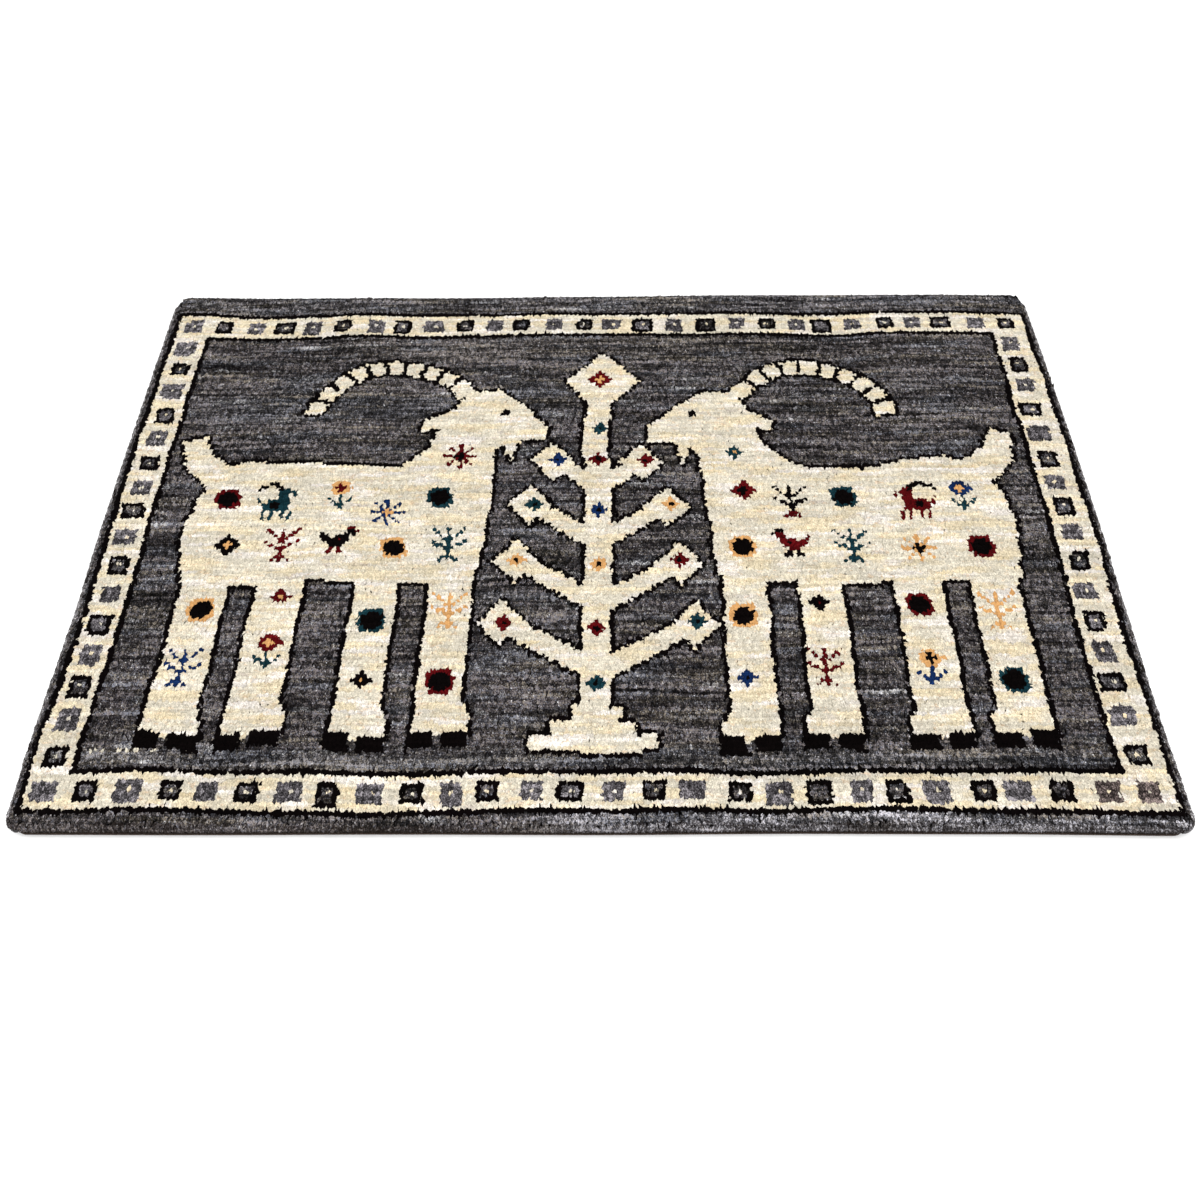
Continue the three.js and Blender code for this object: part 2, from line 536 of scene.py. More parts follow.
print("knots across and up:", [(len(motif[0]), len(motif)) for motif in motifs])

# %% [markdown]
# A weaver fits a motif in wherever the cream is bare, in no strict order. So each is placed one by
# one here, by the knot at its lower left corner. The same motif comes back in other wools, and the
# kid and the bird on the right are mirrored.

# %% Motifs on the goats and the tree
def knot_motif(motif, left, low, x, o=black, z=teal, mirrored=False):
    """Knots a motif with its lower left corner at the given knot."""
    wool_of = {"x": x, "o": o, "z": z}
    for step_up, line in enumerate(reversed(motif)):
        for step, letter in enumerate(reversed(line) if mirrored else line):
            if letter in wool_of:
                chart[low + step_up, left + step] = wool_of[letter]


# On the left goat
knot_motif(rosette, 27, 92, red)
knot_motif(kid, 38, 88, teal)
knot_motif(flower, 57, 91, peach, red)
knot_motif(star, 69, 86, blue, peach)
knot_motif(rosette, 84, 92, teal)
knot_motif(diamond, 30, 76, black, peach)
knot_motif(sprig, 43, 74, red, red)
knot_motif(bird, 57, 76, black, red)
knot_motif(rosette, 73, 75, peach)
knot_motif(sprig, 86, 74, teal, teal)
knot_motif(star, 87, 106, red)
knot_motif(rosette, 27, 55, peach)
knot_motif(sprig, 25, 36, blue, blue)
knot_motif(leaf, 47, 60, red, peach)
knot_motif(flower, 46, 41, red, peach)
knot_motif(rosette, 70, 52, teal)
knot_motif(leaf, 71, 36, black, peach)
knot_motif(sprig, 88, 53, peach, peach)
knot_motif(rosette, 89, 34, red)

# On the right goat
knot_motif(flower, 222, 90, blue, peach)
knot_motif(kid, 205, 87, red, mirrored=True)
knot_motif(rosette, 191, 92, teal)
knot_motif(sprig, 176, 88, black, red)
knot_motif(diamond, 165, 94, red)
knot_motif(rosette, 224, 74, red)
knot_motif(star, 207, 73, peach)
knot_motif(sprig, 190, 73, teal, teal)
knot_motif(bird, 174, 75, red, mirrored=True)
knot_motif(rosette, 163, 75, peach)
knot_motif(leaf, 164, 109, teal, peach)
knot_motif(sprig, 224, 52, peach, peach)
knot_motif(rosette, 225, 34, teal)
knot_motif(rosette, 206, 56, red)
knot_motif(flower, 206, 36, peach, black, blue)
knot_motif(leaf, 182, 58, black, red)
knot_motif(sprig, 180, 36, red, red)
knot_motif(rosette, 162, 53, peach)
knot_motif(leaf, 163, 36, blue)

# On the tree
knot_motif(diamond, 126, 137, red, peach)
for low, wool in ((118, teal), (106, red), (88, blue), (70, peach), (50, red), (34, teal)):
    knot_motif(leaf, 127, low, wool)
for bough, wool_pair in zip(boughs, ((red, teal), (peach, red), (teal, peach), (blue, red))):
    for side, wool in zip((-1, 1), wool_pair):
        left = round(middle + side * bough["reach"]) - 2
        knot_motif(leaf, left, bough["low"] + bough["rise"] + 1, wool)
print({name: int((chart == number).sum()) for number, name in enumerate(wools)})

# %% [markdown]
# Here and there a weaver runs short of a wool within a row, and takes up another for every second
# knot. Such a row reads as a line of small dots. One in thin cream wool lies at the near left.

# %% Mixed rows
mixed_rows = [
    {"row": 18, "columns": range(12, 30, 2), "wool": cream},
    {"row": 40, "columns": range(104, 122, 2), "wool": grey},
    {"row": 57, "columns": range(146, 155, 2), "wool": grey},
    {"row": 131, "columns": range(84, 106, 2), "wool": grey},
]
mixed_share = 0.8

for mixed in mixed_rows:
    for place in mixed["columns"]:
        if chart[mixed["row"], place] == charcoal and chart_chance.random() < mixed_share:
            chart[mixed["row"], place] = mixed["wool"]
            thin_knots[mixed["row"], place] = mixed["wool"] == cream
print("grey knots:", int((chart == grey).sum()))

# %% [markdown]
# Now each knot gets its wool. On the real rug, a length of yarn is tied round two warps and its two
# cut ends stand up side by side as pile. So every knot here has two tufts. The pile leans a little
# towards the near side, which way a hand strokes it flat, and towards the edges it fans outwards
# and drops. The tufts are laid out as plain arrays: where each one is rooted, and where its tip is.

# %% Measures of the pile
tuft_chance = np.random.default_rng(11)
ground_top = 3.6 * mm
grid_margin_x = 1.6 * mm
grid_margin_y = 2.2 * mm
pitch_x = 2 * (body_half_length - grid_margin_x) / columns
pitch_y = 2 * (body_half_width - grid_margin_y) / rows
nap_lean = 1.3 * mm
root_stray = 0.24 * mm
tip_stray = (0.6 * mm, 0.5 * mm)
most_strays = 2
charcoal_looseness = 1.9
row_sway = 0.8 * mm
tip_rise = 0.1 * mm
height_stray = 0.2 * mm
black_rise = 0.15 * mm
guard_line_rise = 0.3 * mm
short_side_fan = 5.6 * mm
near_side_fan = 2.4 * mm
far_side_fan = 5.6 * mm
near_reach_cut = 0.65
roll_width = 12 * mm
roll_drop = 3.4 * mm
furthest_roll = 1.2
pile_unevenness = 0.45 * mm
swells = [
    {"along_x": 310 * mm, "along_y": 420 * mm, "start": 0.4, "share": 0.5},
    {"along_x": 170 * mm, "along_y": -230 * mm, "start": 2.1, "share": 0.3},
    {"along_x": 95 * mm, "along_y": 120 * mm, "start": 4.0, "share": 0.2},
]


def pile_top(x, y):
    """The height of the pile, which rolls down at its edge and swells a little all over."""
    inset = np.minimum(body_half_length - np.abs(x), body_half_width - np.abs(y))
    roll = roll_drop * np.clip(1 - inset / roll_width, 0, furthest_roll) ** 2
    swell = 0
    for wave in swells:
        turns = x / wave["along_x"] + y / wave["along_y"]
        swell = swell + wave["share"] * np.sin(2 * math.pi * turns + wave["start"])
    inside = smooth_step(inset, 0, roll_width)
    return rug_thickness - roll - pile_unevenness * inside * (1 - swell) / 2


print(f"pile in the middle: {1000 * pile_top(0, 0):.1f} mm high")

# %% [markdown]
# Straight rows would look machine-made. So two tables say how far the four guard lines drift along
# the rug and across it, in millimetres at even stations, and the rows between drift with them. The
# numbers weren't chosen by hand: they were traced and worked out from the photograph by program. A
# quick, small wave on top keeps neighbouring stations from looking joined by a ruler.

# %% The drift of rows and columns
guard_rows = (
    outer_line["near"],
    inner_line["near"],
    rows - 1 - inner_line["far"],
    rows - 1 - outer_line["far"],
)
row_drifts = [
    (1.2, 2.6, 1.6, 0.2, -2.2, 0.2, 1.3, 1.9, 2.4, 0.3, 2.1, 2.1, 1.2, 0, 0.4),
    (0.6, 1.9, 0.5, 0.4, -1.9, -1.1, 0, 0.8, 0.7, -1.6, -0.5, 0.3, 0.4, 0.6, 1.5),
    (-1.7, -2.8, -0.8, 3.0, 0.5, 0.9, 3.8, 2.3, 2.2, 1.3, 0.5, -1.2, 2.3, 3.3, 1.7),
    (1.9, -2.3, -0.5, 3.6, 0.7, 0.3, 2.8, 0.5, 1.2, 0, -0.6, -2.1, 1.2, 2.1, -1.6),
]
guard_columns = (
    outer_line["left"],
    inner_line["left"],
    columns - 1 - inner_line["right"],
    columns - 1 - outer_line["right"],
)
column_drifts = [
    (-0.8, -2.0, 1.2, 0.9, 1.5, 0.2, 0.8, -0.9, -0.2, -0.4, 0.6, -0.2, 1.2),
    (-0.7, -1.6, -0.3, 0.2, 0.8, 0.5, 1.0, 0.3, 1.4, 1.3, 2.2, 2.0, 2.6),
    (1.4, 2.1, 0.2, 0.8, 0.7, 2.5, 1.4, 1.4, 1.1, 0.5, 1.8, 1.9, 2.4),
    (0.8, 2.5, 0.8, 0.8, 0, 3.0, 1.5, 1.8, 2.0, 1.7, 2.0, 0.7, 0.4),
]
drift_run_x = 420 * mm
drift_run_y = 270 * mm
quick_drift = 0.6 * mm
quick_drift_pace = (19, 8)


def hand_drift(guard_lines, drifts, number, along, across):
    """How far each knot's row or column, of the given number, drifts to its side at a place along it.
    The four guard lines have a table each, and the drift passes evenly from one to the next."""
    drift = quick_drift * np.sin(quick_drift_pace[0] * along + quick_drift_pace[1] * across)
    for line, table in enumerate(drifts):
        weight = np.interp(number, guard_lines, np.eye(len(drifts))[line])
        drift = drift + weight * table_at(table, along)
    return drift


furthest_drift = max(abs(drift) for table in row_drifts + column_drifts for drift in table)
print("furthest drift of a guard line:", furthest_drift, "mm")

# %% [markdown]
# A comb beats each row of knots down, but never to quite the same place, and no two tufts stand
# alike. Each root takes the drift of its row and column and a small stray of its own. Each tip then
# leans the way the pile is stroked, and the tips in the outermost rows fan out over the edge. At a
# corner they fan out from one centre, so that the pile turns it in a round.

# %% Roots and tips of the tufts
ends = (-0.25, 0.25)
tuft_row = np.repeat(row.ravel(), len(ends))
tuft_column = np.repeat(column.ravel(), len(ends))
tufts = len(tuft_row)
flat_x = (tuft_column + np.tile(ends, columns * rows) + 0.5 - columns / 2) * pitch_x
flat_y = (tuft_row + 0.5 - rows / 2) * pitch_y
inset = np.minimum(body_half_length - np.abs(flat_x), body_half_width - np.abs(flat_y))
drift_share = smooth_step(inset, 0, roll_width / 2)
share_x, share_y = flat_x / drift_run_x, flat_y / drift_run_y
roots = np.stack([
    flat_x + drift_share * hand_drift(guard_columns, column_drifts, tuft_column, share_y, share_x),
    flat_y + drift_share * hand_drift(guard_rows, row_drifts, tuft_row, share_x, share_y),
    np.full(tufts, ground_top),
], axis=1)
roots[:, :2] += tuft_chance.normal(0, root_stray, (tufts, 2))
roots = in_rounded_corners(roots)
in_roll = np.maximum(np.abs(roots[:, :2]) - (corner_centre_x, corner_centre_y), 0) / corner_radius
fan_x, fan_y = (in_roll * np.linalg.norm(in_roll, axis=1, keepdims=True)).T
tips = roots.copy()
tips[:, 0] += np.sign(roots[:, 0]) * fan_x * short_side_fan
is_near = roots[:, 1] < 0
tips[:, 1] += np.where(is_near, -near_side_fan, far_side_fan) * fan_y - nap_lean * (1 - fan_y)
tuft_wool = chart[tuft_row, tuft_column]
on_guard_line = ((inside_outer == 0) | (inside_inner == 0))[tuft_row, tuft_column]
looseness = np.where(tuft_wool == charcoal, charcoal_looseness, 1)[:, None]
strays = np.clip(tuft_chance.normal(0, 1, (tufts, 2)), -most_strays, most_strays)
tips[:, :2] += strays * tip_stray * looseness
tips[:, 0] += tuft_chance.uniform(-row_sway, row_sway, rows)[tuft_row]
tips[:, 2] = pile_top(tips[:, 0], tips[:, 1]) + tuft_chance.normal(tip_rise, height_stray, tufts)
tips[:, 2] += np.where(on_guard_line, guard_line_rise, np.where(tuft_wool == black, black_rise, 0))
print(f"knot pitch: {1000 * pitch_x:.2f} by {1000 * pitch_y:.2f} mm")

# %% [markdown]
# The rug's side is a wall of pile as well. Short strands fill it from the hem to the rolled top.
# They are rooted a few millimetres inside and come out to the wall in four courses. The tuples say,
# in millimetres and from the lowest course up, how high each course is, how far its roots lie below,
# and how far it stands out from the body's edge on the long sides and on the short ones. Below 0,
# it is set back from the edge. Each strand takes the wool of the knot nearest to it.

# %% Strands of the side wall
strand_pitch = 1.6 * mm
strand_stray = 0.45 * mm
strand_depth_stray = 0.1 * mm
strand_heights = (7.0, 8.2, 9.3, 10.3)
strand_root_drops = (0.4, 0.8, 1.6, 2.6)
strand_long_side = (-0.9, -0.4, 0, -0.2)
strand_short_side = (-1.8, -0.9, -0.5, -0.1)
strand_sizes = (0.45, 0.5, 0.6, 0.7)
strand_root_inset = 4.6 * mm


def outline_walk(step):
    """Points round the body's outline and the outward direction at each, step apart."""
    left, right = -body_half_length, body_half_length
    near, far = -body_half_width, body_half_width
    straights = [
        ((-corner_centre_x, near), (corner_centre_x, near), (0, -1)),
        ((right, -corner_centre_y), (right, corner_centre_y), (1, 0)),
        ((corner_centre_x, far), (-corner_centre_x, far), (0, 1)),
        ((left, corner_centre_y), (left, -corner_centre_y), (-1, 0)),
    ]
    places = []
    for start, end, normal in straights:
        stations = round(max(abs(end[0] - start[0]), abs(end[1] - start[1])) / step)
        for share in np.arange(stations) / stations:
            x = start[0] + share * (end[0] - start[0])
            y = start[1] + share * (end[1] - start[1])
            places.append((x, y, *normal))
        corner_x = math.copysign(corner_centre_x, end[0])
        corner_y = math.copysign(corner_centre_y, end[1])
        turns = round(corner_radius * math.pi / 2 / step)
        for turn in np.arange(turns) / turns * math.pi / 2:
            heading = math.atan2(normal[1], normal[0]) + turn
            out_x, out_y = math.cos(heading), math.sin(heading)
            x = corner_x + corner_radius * out_x
            y = corner_y + corner_radius * out_y
            places.append((x, y, out_x, out_y))
    return np.array(places)


wall_roots, wall_tips, wall_beside, wall_sizes = [], [], [], []
strand_levels = zip(strand_heights, strand_root_drops, strand_long_side, strand_short_side, strand_sizes)
for height, root_drop, long_side, short_side, size in strand_levels:
    walk = outline_walk(strand_pitch)
    out = walk[:, 2:]
    beside = np.stack([-out[:, 1], out[:, 0]], axis=1)
    walk[:, :2] += beside * tuft_chance.normal(0, strand_stray, (len(walk), 1))
    stand = (short_side * out[:, :1] ** 2 + long_side * out[:, 1:] ** 2) * mm
    tip_height = height * mm + tuft_chance.normal(0, height_stray, len(walk))
    stand += tuft_chance.normal(0, strand_depth_stray, (len(walk), 1))
    tip_places = walk[:, :2] + out * stand
    root_height = np.maximum(tip_height - root_drop * mm, ground_top)
    wall_tips.append(np.column_stack([tip_places, tip_height]))
    wall_roots.append(np.column_stack([walk[:, :2] - out * strand_root_inset, root_height]))
    wall_beside.append(np.column_stack([beside, np.zeros(len(walk))]))
    wall_sizes.append(np.full(len(walk), size))
wall_roots = np.concatenate(wall_roots)
wall_tips = np.concatenate(wall_tips)
wall_beside = np.concatenate(wall_beside)
wall_column = np.clip((wall_tips[:, 0] / pitch_x + columns / 2).astype(int), 0, columns - 1)
wall_row = np.clip((wall_tips[:, 1] / pitch_y + rows / 2).astype(int), 0, rows - 1)
print("wall strands:", len(wall_roots))

# %% [markdown]
# Every piece of the rug is a mesh made straight from arrays, because adding a hundred thousand tufts
# one by one would take minutes. One function hands the points and the faces to Blender. It also
# gives the piece its texture map, and its lots: values that go with each point, such as the row it
# is in, so that the dye can vary from place to place.

# %% Meshes from arrays
def new_mesh(name, points, faces, map_points, lots, creased=()):
    """A mesh from arrays, smooth but for the creased groups of faces. map_points has one place
    for each corner of each face, and lots has the values that go with each point."""
    mesh = bpy.data.meshes.new(name)
    mesh.vertices.add(len(points))
    mesh.vertices.foreach_set("co", points.astype(np.float32).ravel())
    corners = np.concatenate([np.ravel(group) for group in faces])
    sizes = np.concatenate([np.full(len(group), group.shape[1]) for group in faces])
    is_smooth = [number not in creased for number in range(len(faces))]
    smooth = np.repeat(is_smooth, [len(group) for group in faces])
    mesh.loops.add(len(corners))
    mesh.loops.foreach_set("vertex_index", corners.astype(np.int32))
    mesh.polygons.add(len(sizes))
    mesh.polygons.foreach_set("loop_start", (np.cumsum(sizes) - sizes).astype(np.int32))
    mesh.polygons.foreach_set("use_smooth", smooth)
    bake_map = mesh.uv_layers.new(name="OFBake")
    bake_map.uv.foreach_set("vector", map_points.astype(np.float32).ravel())
    for lot, values in lots.items():
        mesh.attributes.new(lot, "FLOAT", "POINT").data.foreach_set("value", values.astype(np.float32))
    mesh.update(calc_edges=True)
    piece = bpy.data.objects.new(name, mesh)
    bpy.context.collection.objects.link(piece)
    return piece


def unit(vectors):
    return vectors / np.linalg.norm(vectors, axis=-1, keepdims=True)


print("mesh helpers ready")

# %% [markdown]
# One function builds any number of tufts at once. A tuft is a low crown of four corners on two
# near faces that run down to a point at its root. It could be hair curves, but those don't export
# as a surface. The crown is tilted like a roof tile: its far corner dips under the row behind, and
# its near corner reaches out over the next row. That lets no ground show through, and gives the
# colour edges the little teeth of real pile. The far faces are left out, because the rows behind
# always hide them.
#
# Each tuft has its own square of the texture map. Its row, its column and a number drawn at random
# for each tuft are its lots.

# %% How a tuft is built
crown_heading = np.radians([0, 90, 180, 270])
crown_reach = np.array([2.0, 4.9, 2.0, 4.3]) * mm
crown_dip = np.array([0.4, 1.6, 0.4, 0.3]) * mm
tuft_turn = math.radians(14)
corner_turn = math.radians(9)
reach_stray = 0.11
dip_stray = 0.14 * mm
crown_faces = np.array([[0, 1, 4], [1, 2, 4], [2, 3, 4], [3, 0, 4]])
near_faces = np.array([[5, 3, 2], [5, 0, 3]])
tuft_map = np.array([(0.8, 0.1), (0, 0.95), (-0.8, 0.1), (0, -0.35), (0, 0.15), (0, -0.95)])
points_a_tuft = len(tuft_map)


def tuft_points(root, tip, beside, size, cut, chance):
    """The points of each tuft: the crown's four corners, the tip and the root.
    beside is the direction along its row, and size the tuft's share of the full crown.
    cut says how much of each corner's reach is left out, at the rug's edge."""
    shape = (len(root), len(crown_heading))
    axis = unit(tip - root)
    first = unit(beside - (beside * axis).sum(1, keepdims=True) * axis)
    second = np.cross(axis, first)
    turn = crown_heading + chance.normal(0, tuft_turn, (len(root), 1))
    turn = turn + chance.normal(0, corner_turn, shape)
    flat = np.cos(turn)[..., None] * first[:, None] + np.sin(turn)[..., None] * second[:, None]
    reach = size[:, None] * (1 - cut) * crown_reach * chance.normal(1, reach_stray, shape)
    spokes = reach[..., None] * flat
    dip = size[:, None] * crown_dip + chance.normal(0, dip_stray, shape)
    crown = tip[:, None] + spokes - dip[..., None] * axis[:, None]
    return np.concatenate([crown, tip[:, None], root[:, None]], axis=1)


def tuft_piece(name, points, in_row, in_column, lot):
    """Joins tufts into one piece."""
    count = len(points)
    cells = math.ceil(math.sqrt(count))
    first_point = points_a_tuft * np.arange(count)[:, None, None]
    sleeves = (first_point + near_faces).reshape(-1, 3)
    crowns = (first_point + crown_faces).reshape(-1, 3)
    cell = np.stack([np.arange(count) % cells, np.arange(count) // cells], axis=1)
    on_map = (cell[:, None] + 0.5 + 0.5 * tuft_map[None]) / cells
    on_map = on_map.reshape(-1, 2)[np.concatenate([sleeves.ravel(), crowns.ravel()])]
    lots = {
        "row": np.repeat(in_row, points_a_tuft),
        "column": np.repeat(in_column, points_a_tuft),
        "tuft": np.repeat(lot, points_a_tuft),
    }
    return new_mesh(name, as_lying(points).reshape(-1, 3), [sleeves, crowns], on_map, lots, creased=[0])


print("triangles a tuft:", len(crown_faces) + len(near_faces))

# %% [markdown]
# At the rug's corners the pile that leans out over the edge would end in a ragged step. There, each
# point that lies beyond a quarter circle is drawn back onto it. The pile leans out furthest on the
# far side, so its corners turn in a wider circle.

# %% The pile at the corners
pile_overhang = {"short": 3.5 * mm, "near": 3.5 * mm, "far": 6.0 * mm}
pile_corner_radius = {"near": 16 * mm, "far": 27 * mm}


def pressed_in(places):
    """Presses the pile that leans out at the corners into one smooth curve."""
    is_far = places[..., 1:] > 0
    radius = np.where(is_far, pile_corner_radius["far"], pile_corner_radius["near"])
    overhang_y = np.where(is_far, pile_overhang["far"], pile_overhang["near"])
    overhang_x = np.full_like(overhang_y, pile_overhang["short"])
    overhang = np.concatenate([overhang_x, overhang_y], axis=-1)
    centre = np.array([body_half_length, body_half_width]) + overhang - radius
    beyond = np.maximum(np.abs(places) - centre, 0)
    distance = np.linalg.norm(beyond, axis=-1, keepdims=True)
    nearer = beyond * radius / np.maximum(distance, radius)
    in_corner = beyond.min(axis=-1, keepdims=True) > 0
    return np.where(in_corner, np.sign(places) * (centre + nearer), places)


for side, radius in pile_corner_radius.items():
    print(side, "corners turn in a circle of", round(1000 * radius), "mm")

# %% [markdown]
# The tufts are sorted by wool, because the weaver dyes and spins each wool apart and each needs
# its own finish. A wool with very many knots is shared out over several pieces, to keep every piece
# light enough to handle.

# %% The pile, wool by wool
most_tufts_a_piece = 20000
edge_thinning = 0.3
thin_wool_size = 0.7
guard_line_size = 1.15
black_size = 1.05
size_stray = 0.05
# The corner of the crown that points to the near side
near_corner = 3

all_roots = np.concatenate([roots, wall_roots])
all_tips = np.concatenate([tips, wall_tips])
all_rows = np.concatenate([tuft_row, wall_row])
all_columns = np.concatenate([tuft_column, wall_column])
all_beside = np.concatenate([np.tile((1.0, 0, 0), (tufts, 1)), wall_beside])
all_wools = chart[all_rows, all_columns]
thickness = 1 - edge_thinning * np.maximum(fan_x, fan_y)
thickness *= np.where(thin_knots[tuft_row, tuft_column], thin_wool_size, 1)
thickness *= np.where(on_guard_line, guard_line_size, np.where(tuft_wool == black, black_size, 1))
tuft_size = np.concatenate([thickness, *wall_sizes])
tuft_size = tuft_size * tuft_chance.normal(1, size_stray, len(all_roots))
reach_cut = np.zeros((len(all_roots), len(crown_heading)))
reach_cut[:tufts, near_corner] = np.where(is_near, near_reach_cut * fan_y, 0)
all_points = tuft_points(all_roots, all_tips, all_beside, tuft_size, reach_cut, tuft_chance)
all_points[..., :2] = pressed_in(all_points[..., :2])
all_lots = tuft_chance.random(len(all_roots))

pile_pieces = {}
for number, wool in enumerate(wools):
    chosen = np.flatnonzero(all_wools == number)
    shares = math.ceil(len(chosen) / most_tufts_a_piece)
    for share, part in enumerate(np.array_split(chosen, shares)):
        name = f"{wool}_pile" if shares == 1 else f"{wool}_pile_{share + 1}"
        piece = tuft_piece(name, all_points[part], all_rows[part], all_columns[part], all_lots[part])
        pile_pieces[piece] = wool
print({piece.name: len(piece.data.polygons) for piece in pile_pieces})

# %% [markdown]
# Under the pile is the ground: warps, wefts and the backs of the knots, woven into a firm cloth.
# At each long side it is folded under as a hem, which shows as a thin rounded line at the foot of
# the pile. The ground is one closed slab. Its underside has one face for each knot, because on a
# hand-knotted rug the design shows on the back too. Its wall is built in rings, one at each of the
# heights below. Two more tuples say how far each ring stands out from the body's edge or, below 0,
# is set back from it. All are in millimetres.

# %% The woven ground
ground_heights = (0, 0.9, 1.7, 2.4, 3.3, 4.0)
ground_long_side = (-2.0, -0.6, -0.1, 0, -0.5, -1.6)
ground_short_side = (-2.0, -2.0, -2.0, -2.0, -2.0, -2.2)
hem_rows = 4
sole_lift = 0.35 * mm
sole_map_share = 0.9
wall_map_step = 0.01
wall_map_height = 0.009
top_map_middle = (0.5, 0.98)
top_map_size = (0.9, 0.03)

corner_row, corner_column = np.mgrid[0:rows + 1, 0:columns + 1]
sole = np.stack([
    (corner_column / columns * 2 - 1) * body_half_length,
    (corner_row / rows * 2 - 1) * body_half_width,
    np.where(np.minimum(corner_row, rows - corner_row) > hem_rows, sole_lift, 0),
], axis=-1)
sole = in_rounded_corners(sole)
index = np.arange((rows + 1) * (columns + 1)).reshape(rows + 1, columns + 1)
rim = np.concatenate([index[0, :-1], index[:-1, -1], index[-1, :0:-1], index[:0:-1, 0]])

flat_sole = sole.reshape(-1, 3)
beyond = np.maximum(np.abs(flat_sole[rim, :2]) - (corner_centre_x, corner_centre_y), 0)
rim_out = np.sign(flat_sole[rim, :2]) * beyond / np.linalg.norm(beyond, axis=1, keepdims=True)
rim_points = flat_sole[rim, :2]
walls = []
for height, long_side, short_side in zip(ground_heights, ground_long_side, ground_short_side):
    stand = (short_side * rim_out[:, :1] ** 2 + long_side * rim_out[:, 1:] ** 2) * mm
    walls.append(np.column_stack([rim_points + rim_out * stand, np.full(len(rim), height * mm)]))
flat_sole[rim, :2] = walls[0][:, :2]
ground_points = np.concatenate([flat_sole, *walls[1:]])

sole_faces = np.stack([index[:-1, :-1], index[1:, :-1], index[1:, 1:], index[:-1, 1:]], axis=-1)
sole_faces = sole_faces.reshape(-1, 4)
around = np.arange(len(rim))
rings = [rim] + [len(flat_sole) + level * len(rim) + around for level in range(len(walls) - 1)]
wall_faces = np.concatenate([
    np.stack([low, np.roll(low, -1), np.roll(high, -1), high], axis=1)
    for low, high in zip(rings, rings[1:])
])
top_face = rings[-1][None, :]

sole_map = np.stack([corner_column / columns, corner_row / rows * sole_map_share], axis=-1)
wall_levels = np.repeat(np.arange(len(rings) - 1), len(rim))
wall_start = np.tile(around, len(rings) - 1) / len(rim)
wall_end = wall_start + 1 / len(rim)
wall_low = sole_map_share + wall_map_step * (wall_levels + 1)
wall_high = wall_low + wall_map_height
wall_map = np.stack([
    np.stack([wall_start, wall_low], 1),
    np.stack([wall_end, wall_low], 1),
    np.stack([wall_end, wall_high], 1),
    np.stack([wall_start, wall_high], 1),
], axis=1)
top_ring = ground_points[top_face[0], :2] / (rug_length, rug_width)
top_map = np.array(top_map_middle) + np.array(top_map_size) * top_ring
sole_map = sole_map.reshape(-1, 2)[sole_faces.ravel()]
ground_map = np.concatenate([sole_map, wall_map.reshape(-1, 2), top_map])
place_lots = {
    lot: np.concatenate([numbers.ravel(), np.tile(numbers.ravel()[rim], len(walls) - 1)])
    for lot, numbers in (("row", corner_row), ("column", corner_column))
}
ground = new_mesh(
    "woven_ground", as_lying(ground_points), [sole_faces, wall_faces, top_face], ground_map, place_lots
)
print("woven ground faces:", len(ground.data.polygons))

# %% [markdown]
# The short sides are bound by a selvedge: the last warps, wrapped over and over with wool yarn. The
# wrapped warps run as a round cord along the side. At both ends the cord thins out and turns in
# round the corner. A function gives its middle line, so that the yarn can be wound round it.

# %% The line of a selvedge
yarn_radius = 1.2 * mm
yarn_turn = 2.05 * mm
yarn_sides = 6
steps_a_turn = 12
lump_pitch = 8.5 * mm
lump_depth = 0.3 * mm
yarn_slant = 1.0 * mm
yarn_bulk = 0.6 * mm
selvedge_tail = 15 * mm
tail_turn = math.radians(50)
tail_taper = 0.35
wrapped_tail = 0.97
wobble_reach = 9
wobble_depth = 0.12 * mm
wobble_thickness = 0.06
lump_wander = 2 * mm
lump_wander_run = 47 * mm
thinnest_share = 0.25
least_spiral_radius = 0.2 * mm
lowest_yarn = 0.8
yarn_map_margin = 0.02
selvedge_chance = np.random.default_rng(23)


def selvedge_centre(side, along):
    """The cord's middle, its outward direction and its radius, at a distance along the short side."""
    past = np.clip((np.abs(along) - corner_centre_y) / selvedge_tail, 0, 1)
    turn = past * tail_turn
    radius = selvedge_radius * np.sqrt(1 - past**2) * (1 - tail_taper * past)
    reach = corner_radius + radius + sewn_gap - wall_recess * np.cos(turn) ** 2
    end = np.sign(along)
    straight = np.minimum(np.abs(along), corner_centre_y)
    centre = np.stack([
        side * (corner_centre_x + reach * np.cos(turn)),
        end * (straight + reach * np.sin(turn)),
        np.maximum(radius - lump_depth / 2, 0),
    ], axis=-1)
    outward = np.stack([side * np.cos(turn), end * np.sin(turn), np.zeros_like(turn)], axis=-1)
    return centre, outward, radius


print(f"cord: {2000 * selvedge_radius:.0f} mm thick, yarn: {2000 * yarn_radius:.1f} mm")

# %% [markdown]
# The yarn is one long spiral: a tube with six sides that winds along the cord. The warps inside
# never show, so they are left out. The weaver's turns bunch up into lumps about every eight
# millimetres, so the spiral's radius rises and falls, and no turn is quite as thick as the last.

# %% The spiral of yarn
half_run = corner_centre_y + wrapped_tail * selvedge_tail
turns = round(2 * half_run / yarn_turn)
steps = turns * steps_a_turn
wound = np.arange(steps + 1) / steps_a_turn


